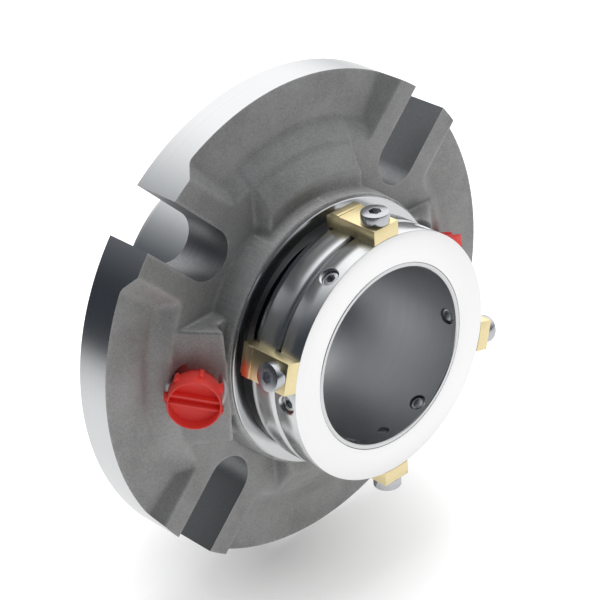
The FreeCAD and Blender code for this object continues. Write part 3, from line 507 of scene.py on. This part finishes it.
# %% Cutting away with a piece
def take_away(piece, cutter):
    """Cut one piece out of another. The new walls keep the cutter's materials."""
    boolean = piece.modifiers.new("cut", "BOOLEAN")
    boolean.object = cutter
    boolean.operation = "DIFFERENCE"
    boolean.solver = "EXACT"
    boolean.material_mode = "TRANSFER"
    settle(piece)
    bpy.data.objects.remove(cutter)
    return piece


def carve(piece, cutter_mesh, *materials):
    """Cut a bmesh out of a piece."""
    return take_away(piece, finished(piece.name + "_cutter", cutter_mesh, *materials))


neck = lathe([
    (0, -60), (49.3, -60), (49.3, -31), (49.9, -30.7), (50.25, -30), (50.9, -19.9), (51.1, -8), (0, -8),
], steps=480)
front_air = carve(finished("front_air", air, cast_steel), neck, cast_steel)
print("air round the neck:", len(front_air.data.polygons), "faces")

# %% The gland's turned form
gland_mesh = lathe([
    (49.2, -31), (90, -31), (90, -0.8), (89.2, 0), (54.5, 0), (54.5, 21.5), (54, 22), (53.15, 22),
    (53.15, 20), (49.95, 20), (49.95, 22), (48.6, 22), (48.6, 14.2), (47.1, 14.2), (47.1, 9.95),
    (49.475, 9.95), (49.475, 6.45), (47.1, 6.45), (47.1, 2), (38.6, 2), (38.6, -11.95),
    (39.8, -11.95), (39.8, -13.25), (38.6, -13.25), (38.6, -25.5), (36.4, -25.5), (36.4, -27.5),
    (44.1, -27.5), (44.1, -31.9), (44.5, -32.3), (48.9, -32.3), (49.2, -32.0),
], steps=480)
mark(gland_mesh, 1, lambda radius, y: radius < 44.2 and y < 2.5)
gland = take_away(finished("gland_casting", gland_mesh, turned_steel, bore_steel), front_air)
print("gland:", len(gland.data.polygons), "faces,", [m.name for m in gland.data.materials])

# %% [markdown]
# The slots are milled with a round-nosed cut. Each cutter starts as a circle, half of which is pulled
# out past the rim. The ports are drilled square to their bosses, with a spot face for the plug.

# %% Bolt slots and ports
SLOT_RADIUS, SLOT_CENTRE, PAST_RIM = 9.4, 64.2, 30
SLOT_FRONT, SLOT_DEPTH = -34, 36


def slot_cutter():
    mesh = bmesh.new()
    place = Matrix.Translation((SLOT_CENTRE * MM, SLOT_FRONT * MM, 0))
    bmesh.ops.create_circle(mesh, cap_ends=True, segments=96, radius=SLOT_RADIUS * MM,
                            matrix=place @ Matrix.Rotation(math.pi / 2, 4, "X"))
    for vertex in mesh.verts:
        if vertex.co.x > (SLOT_CENTRE + 0.1) * MM:
            vertex.co.x += PAST_RIM * MM
    wall = bmesh.ops.extrude_face_region(mesh, geom=mesh.faces[:])["geom"]
    bmesh.ops.translate(mesh, vec=(0, SLOT_DEPTH * MM, 0), verts=points_of(wall))
    return mesh


PORT = Matrix.Translation((58.2 * MM, -23 * MM, 0)) @ Matrix.Rotation(math.radians(45), 4, "Z")
PORTS = {"right": around(0) @ PORT, "left": around(180) @ PORT}
carve(gland, repeated(slot_cutter(), [around(angle) for angle in SLOTS]), milled_steel_painted_shade)
port_form = lathe([(0, -10.8), (10.65, -10.8), (10.65, 0), (8, 0), (8, 12), (0, 12)], steps=64)
carve(gland, repeated(port_form, PORTS.values()), bore_steel)
cast_number = [m.name for m in gland.data.materials].index(cast_steel.name)
smooth(gland, 35, soft=(cast_number,))
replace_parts(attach(gland, "gland"), "gland_plate")
print("gland after milling:", len(gland.data.polygons), "faces,", [m.name for m in gland.data.materials])

# %% [markdown]
# ## Sleeve and clamp ring
# Both are turned, so both are spun from a profile. The sleeve runs through the whole seal and ends
# flush with the ring's front. The ring has a groove, a bevelled back and six holes for grub screws
# that pass through the sleeve as well. Two more holes in the sleeve take the screws that key the ring
# to it. The ring's edges are broken by a hair, which catches the light.

# %% Shaft sleeve
PHASE = -0.5
GRUBS = [PHASE + angle for angle in (0, 60, 120, 180, 240, 300)]
CLIPS = {"top": PHASE + 90, "left": PHASE + 165, "bottom": PHASE + 270, "right": PHASE + 345}
KEYS = [PHASE + angle for angle in (90, 270)]
GRUB_Y, KEY_Y = -54.3, -53.1
GRUB_HOLE, KEY_HOLE = 3.05, 2.05

sleeve_mesh = lathe([
    (32.5, -58.6), (32.8, -58.9), (33.9, -58.9), (34.1, -58.7), (34.1, -38.1), (33.3, -38.1),
    (33.3, -36.8), (34.1, -36.8), (34.1, 22.1), (45.25, 22.1), (45.25, 17.1), (47.25, 17.1),
    (47.25, 29.8), (46.25, 30.8), (36.6, 30.8), (36.6, 34.6), (36.2, 35), (32.9, 35), (32.5, 34.6),
    (32.5, 30.35), (35.1, 30.35), (35.1, 26.85), (32.5, 26.85),
], steps=256)
mark(sleeve_mesh, 1, lambda radius, y: radius < 33.3 and y > -58.5)
sleeve = finished("sleeve_tube", sleeve_mesh, ring_steel, bore_steel)
carve(sleeve, repeated(rod(GRUB_HOLE, -40, -30), [facing(angle, GRUB_Y) for angle in GRUBS]), bore_steel)
carve(sleeve, repeated(rod(KEY_HOLE, -40, -30), [facing(angle, KEY_Y) for angle in KEYS]), bore_steel)
smooth(sleeve)
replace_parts(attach(sleeve, "rotor"), "shaft_sleeve")
print("sleeve:", len(sleeve.data.polygons), "faces")

# %% Clamp ring
ring_mesh = lathe([
    (34.15, -58.9), (45.6, -58.9), (45.6, -49.55), (43.2, -49.55), (43.2, -48.05), (44.7, -48.05),
    (45.6, -47.15), (45.6, -39.7), (44.7, -36.5), (36.55, -36.5), (36.55, -38.1), (34.15, -38.1),
], steps=256, edge=0.3)
mark(ring_mesh, 1, lambda radius, y: y < -58.85)
ring = finished("clamp_ring_turned", ring_mesh, ring_steel, faced_steel_painted_highlight)
grub_hole = lathe([(0, -47), (5.15, -47), (GRUB_HOLE, -45.1), (GRUB_HOLE, -30), (0, -30)], steps=48)
carve(ring, repeated(grub_hole, [facing(angle, GRUB_Y) for angle in GRUBS]), ring_steel)
smooth(ring)
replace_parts(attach(ring, "rotor"), "clamp_ring")
print("clamp ring:", len(ring.data.polygons), "faces")

# %% [markdown]
# ## Screws
# The grub screws and the clips' low-head screws all have a hexagon socket. Each kind is turned once,
# its socket is cut with a six-sided rod, and copies are then set in place.

# %% Grub screws and clip screws
CLIP_SCREW_Y, CLIP_TOP = -53.9, 50.7
SOCKET_DEPTH = 2.4


def screw(name, profile, socket, top, edge):
    """A turned screw along Y with its head towards -Y. Its socket is so wide from middle to flat."""
    piece = finished(name, lathe(profile, steps=48, edge=edge), screw_steel)
    key = rod(socket / math.cos(math.pi / 6), top - 1, top + SOCKET_DEPTH, segments=6)
    return smooth(carve(piece, key, screw_steel))


def set_in(piece, node, finish, place, body):
    """A copy of a piece, set in its place for good, that stands for a node."""
    data = piece.data.copy()
    data.transform(place)
    copy = bpy.data.objects.new(f"{node}_{finish}", data)
    bpy.context.scene.collection.objects.link(copy)
    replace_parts(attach(copy, body), node)


grub = screw("grub_pattern", [(0, -44.4), (3, -44.4), (3, -33.5), (2, -33), (1.7, -33), (0, -34)],
             1.5, -44.4, 0.35)
for number, angle in enumerate(GRUBS, 1):
    set_in(grub, f"grub_screw_{number}", "steel", facing(angle, GRUB_Y), "rotor")
bpy.data.objects.remove(grub)
head = screw("head_pattern", [(0, -4), (5, -4), (5, 0), (3, 0), (3, 8.6), (0, 8.6)], 2.0, -4, 0.4)
for side, angle in CLIPS.items():
    place = facing(angle, CLIP_SCREW_Y, CLIP_TOP)
    set_in(head, f"clip_screw_{side}", "steel", place, "rotor")
bpy.data.objects.remove(head)
print("screws set:", len(GRUBS) + len(CLIPS))

# %% [markdown]
# ## Setting clips
# Each clip is a short brass bar. Its side view, with a low rib and a step down at its back end, is one
# outline, which is extruded to the clip's width. The ring's own round form is then cut from its
# underside, which leaves a thin edge behind the ring, and a narrow bevel breaks the edges.

# %% Brass clips
CLIP_WIDTH = 11.3
outline = [
    (-58.9, 44.6), (-36.1, 44.6), (-36.1, 49.4), (-38.4, 49.4), (-38.4, 51.0), (-42.0, 51.0),
    (-42.0, CLIP_TOP), (-58.9, CLIP_TOP),
]
clip_mesh = bmesh.new()
corners = [clip_mesh.verts.new((-CLIP_WIDTH / 2 * MM, y * MM, z * MM)) for y, z in outline]
grown = bmesh.ops.extrude_face_region(clip_mesh, geom=[clip_mesh.faces.new(corners)])["geom"]
bmesh.ops.translate(clip_mesh, vec=(CLIP_WIDTH * MM, 0, 0), verts=points_of(grown))
clip = finished("clip_pattern", clip_mesh, brass)
carve(clip, rod(45.62, -60, -36.5, segments=256), brass)
bevel = clip.modifiers.new("broken_edges", "BEVEL")
bevel.width = 0.18 * MM
bevel.segments = 2
bevel.limit_method = "ANGLE"
bevel.angle_limit = math.radians(50)
settle(clip)
smooth(clip)
for side, angle in CLIPS.items():
    set_in(clip, f"setting_clip_{side}", "brass", around(angle - 90), "rotor")
bpy.data.objects.remove(clip)
print("clips set:", list(CLIPS))

# %% [markdown]
# ## Port plugs
# The plugs keep dirt out of the ports until pipes are fitted. Each is one moulding: a head with a deep
# recess, two bars across it for a blade or a coin, and seven short lugs round its foot for the fingers.
# They are screwed in by hand and stand a little off their bosses.

# %% Red plugs
LUGS = 7


def block(mesh, turn, place, sides):
    """Add a block with so long sides to a mesh, in its place and then turned about Y."""
    stand = Matrix.Translation([p * MM for p in place])
    bmesh.ops.create_cube(mesh, size=MM, matrix=turn @ stand @ Matrix.Diagonal((*sides, 1)))


plug_mesh = lathe([
    (0, -6.1), (8.75, -6.1), (8.75, -10.8), (9.3, -10.8), (9.4, -3.4), (7.9, -3.4), (7.9, 5.6),
    (7, 6.6), (0, 6.6),
], steps=120, edge=0.14)
plug = finished("plug_pattern", plug_mesh, red_plastic)
grips = bmesh.new()
for across in (-1.55, 1.55):
    block(grips, around(-14), (0, -7.45, across), (17.7, 3.0, 0.9))
for number in range(LUGS):
    block(grips, around(-5.7 + number * 360 / LUGS), (9.6, -5.5, 0), (1.8, 4.2, 1.6))
bmesh.ops.bevel(grips, geom=grips.edges[:], offset=0.2 * MM, offset_type="OFFSET", affect="EDGES",
                segments=2, profile=0.5, material=-1)
grip = finished("plug_grips", grips, red_plastic)
join_on = plug.modifiers.new("grips", "BOOLEAN")
join_on.object = grip
join_on.operation = "UNION"
join_on.solver = "EXACT"
join_on.use_self = True
settle(plug)
bpy.data.objects.remove(grip)
smooth(plug)
for side, place in PORTS.items():
    set_in(plug, f"port_plug_{side}", "red", place, "gland")
bpy.data.objects.remove(plug)
print("plugs set:", list(PORTS))

# %% [markdown]
# ## The pieces inside
# What is inside the gland shows only from behind or in a cut. These pieces keep their shape from the
# engineering model and only get their finish.

# %% Finishes of the inner pieces
INNER = {
    "stationary_ring": carbon, "throttle_bush": carbon, "rotary_ring": carbide,
    "wave_spring": spring_steel, "bush_retaining_ring": spring_steel,
    "clamp_retaining_ring": spring_steel,
    "anti_rotation_pins": screw_steel, "rotary_drive_pins": screw_steel,
    "drive_screw_1": screw_steel, "drive_screw_2": screw_steel,
    "gland_o_ring": rubber, "stationary_o_ring": rubber, "rotary_o_ring": rubber,
    "sleeve_o_ring": rubber,
}
for name, material in INNER.items():
    NODES[name].data.materials.clear()
    NODES[name].data.materials.append(material)
print("inner pieces:", len(INNER))

# %% [markdown]
# ## Floor and light
# The picture was taken on a white table. Here the table glows for the camera, and more weakly for the
# metal that mirrors it, and still takes the seal's shadow. Its glow fades towards the seal's foot, a
# painted shadow, because an even glow would wash the shadow out. To the metal alone the table shows a
# dark patch on the left, a painted reflection, and above the table the metal mirrors a room that goes
# from dark, low at the left and in front, to white, high at the right and behind. These two give the
# rim its dark part and its white part. For all other rays the room is plain white.

# %% White table
TABLE_Z = -90 * MM
WHITE = linear("#FFFFFF")
floor_mesh = bmesh.new()
bmesh.ops.create_circle(floor_mesh, cap_ends=True, segments=96, radius=1.6,
                        matrix=Matrix.Translation((0, 0, TABLE_Z)))
floor_material, tree, output = new_material("white_table")
rays = add_node(tree, "ShaderNodeLightPath").outputs
place = object_place(tree)
away = add_node(tree, "ShaderNodeVectorMath", {"operation": "DISTANCE"},
                {0: place, 1: (-25 * MM, -12 * MM, TABLE_Z)})
# Painted shadow: the table's glow is weaker close under the seal.
glow_with_painted_shadow = spread(tree, away.outputs["Value"], 0, 90 * MM, 0.22, 0.87)
seen = reckon(tree, "MAXIMUM", rays["Is Camera Ray"], rays["Is Transmission Ray"])
bright = reckon(tree, "MULTIPLY", seen, glow_with_painted_shadow)
shine = reckon(tree, "MULTIPLY_ADD", rays["Is Glossy Ray"], 0.48, bright)
glow = add_node(tree, "ShaderNodeEmission", {}, {"Color": WHITE, "Strength": shine})
matt = add_node(tree, "ShaderNodeBsdfDiffuse", {}, {"Color": linear("#CFCFCF")})
both = add_node(tree, "ShaderNodeAddShader", {}, {0: glow.outputs[0], 1: matt.outputs[0]})
side = add_node(tree, "ShaderNodeSeparateXYZ", {}, {0: place}).outputs["X"]
# Painted reflection: only reflection rays see a dark patch on the left of the table.
left = spread(tree, side, -0.15, -0.6, way="SMOOTHSTEP")
dark_reflection_share = reckon(tree, "MULTIPLY", left, rays["Is Glossy Ray"])
painted_dark_reflection = add_node(tree, "ShaderNodeEmission", {}, {"Color": linear("#3A3E44"), "Strength": 1})
table = add_node(tree, "ShaderNodeMixShader", {}, {0: dark_reflection_share, 1: both.outputs[0], 2: painted_dark_reflection.outputs[0]})
tree.links.new(table.outputs[0], output.inputs["Surface"])
floor = finished("white_table", floor_mesh, floor_material)
print("table top at z =", TABLE_Z)

# %% The room
world = bpy.data.worlds.new("studio_room")
bpy.context.scene.world = world
world.use_nodes = True
tree = world.node_tree
tree.nodes.clear()
rays = add_node(tree, "ShaderNodeLightPath").outputs
aim = add_node(tree, "ShaderNodeTexCoord").outputs["Generated"]
parts = add_node(tree, "ShaderNodeSeparateXYZ", {}, {0: aim}).outputs
rise = 0.33
for axis, share in (("Z", 0.5), ("Y", 0.25), ("X", 0.4)):
    rise = reckon(tree, "MULTIPLY_ADD", parts[axis], share, rise)
ramp = add_node(tree, "ShaderNodeValToRGB", {}, {"Fac": rise})
stops = (
    (0.35, "#2E3238"), (0.50, "#5C6064"), (0.64, "#929496"),
    (0.76, "#C8CACB"), (0.835, "#E6E6E7"), (0.925, "#FFFFFF"),
)
for i, (position, colour) in enumerate(stops):
    stop = ramp.color_ramp.elements[i] if i < 2 else ramp.color_ramp.elements.new(position)
    stop.position = position
    stop.color = linear(colour)


def sky(colour, strength):
    return add_node(tree, "ShaderNodeBackground", {}, {"Color": colour, "Strength": strength}).outputs[0]


def choose(ray, no, yes):
    return add_node(tree, "ShaderNodeMixShader", {}, {0: rays[ray], 1: no, 2: yes}).outputs[0]


lit = choose("Is Glossy Ray", sky(WHITE, 0.35), sky(ramp.outputs["Color"], 1.4))
shown = choose("Is Camera Ray", lit, sky(WHITE, 1.0))
tree.links.new(shown, add_node(tree, "ShaderNodeOutputWorld").inputs["Surface"])
print("room:", len(tree.nodes), "nodes")

# %% Soft lamps
def soft_lamp(name, place, size, power):
    """A square area lamp that points at the seal. The metal mirrors the room in its place."""
    data = bpy.data.lights.new(name, "AREA")
    data.size = size
    data.energy = power
    lamp = bpy.data.objects.new(name, data)
    lamp.location = place
    lamp.rotation_euler = (-Vector(place)).to_track_quat("-Z", "Y").to_euler()
    lamp.visible_glossy = False
    bpy.context.scene.collection.objects.link(lamp)
    return lamp


key = soft_lamp("ceiling_lamp", (0.15, 0.25, 1.25), 1.0, 11)
fill = soft_lamp("front_fill", (-0.6, -1.2, 0.15), 0.8, 3)
print("lamps:", key.name, fill.name)

# %% [markdown]
# ## Finish
# The picture keeps plain colour management.

# %% Close
bpy.context.scene.view_settings.view_transform = "Standard"
